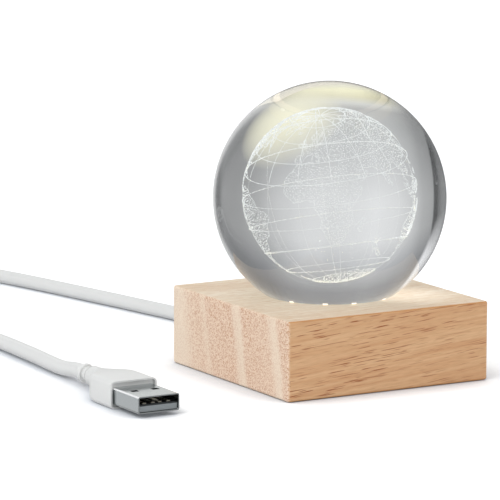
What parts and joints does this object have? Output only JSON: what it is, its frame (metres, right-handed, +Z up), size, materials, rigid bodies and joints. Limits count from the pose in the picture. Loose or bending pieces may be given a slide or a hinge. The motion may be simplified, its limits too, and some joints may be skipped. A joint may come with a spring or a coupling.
{
  "type": "crystal ball lamp",
  "caption": "Solid glass ball with an engraved globe, standing loosely on a square wooden block that lights it from below; free cable with a coil and a flat rectangular plug.",
  "frame": {"origin": "middle of the wooden block's underside, on the table that the foot pads stand on", "axes": "+Z up through the middle of the ball; +X along the block's grain; +Y towards the back, where the cable leaves the block"},
  "size_m": [0.1174, 0.248, 0.0789],
  "materials": {
    "wood": "fine-sanded, thin matt oil",
    "crystal": "polished clear optical glass",
    "clear_plastic": "clear, lightly frosted",
    "board": "white solder mask",
    "led": "white case with yellow phosphor",
    "chip": "glazed black",
    "screw_steel": "zinc-plated",
    "cover": "fine moulded grain",
    "pad": "matt",
    "cord": "satin, soft jacket",
    "tie": "satin",
    "red_sleeve": "satin",
    "black_sleeve": "satin",
    "strap": "woven hook tape",
    "boot": "satin, soft moulding",
    "shell_steel": "nickel-plated, bright",
    "tongue": "moulded",
    "contact": "gold-plated"
  },
  "bodies": {
    "base": {"wood_block": "wood", "light_window": "clear_plastic", "led_board": "board", "led_1": "led", "led_2": "led", "led_3": "led", "led_4": "led", "resistor_1": "chip", "resistor_2": "chip", "board_screw_1": "screw_steel", "board_screw_2": "screw_steel", "board_screw_3": "screw_steel", "bottom_cover": "cover", "cover_screw_1": "screw_steel", "cover_screw_2": "screw_steel", "cover_screw_3": "screw_steel", "cover_screw_4": "screw_steel", "foot_pad_1": "pad", "foot_pad_2": "pad", "foot_pad_3": "pad", "foot_pad_4": "pad", "inner_lead": "cord", "strain_tie": "tie", "red_wire": "red_sleeve", "black_wire": "black_sleeve", "cord_lead": "cord", "cord_coil": "cord", "cord_tail": "cord", "coil_tie": "strap", "plug_boot": "boot", "plug_shell": "shell_steel", "plug_tongue": "tongue", "plug_contact_1": "contact", "plug_contact_2": "contact", "plug_contact_3": "contact", "plug_contact_4": "contact"},
    "ball": {"crystal_ball": "crystal"}
  },
  "joints": [
    {"name": "ball_lift", "type": "slide", "parent": "base", "child": "ball", "axis": [0, 0, 1], "range_m": [0, 0.06]}
  ]
}
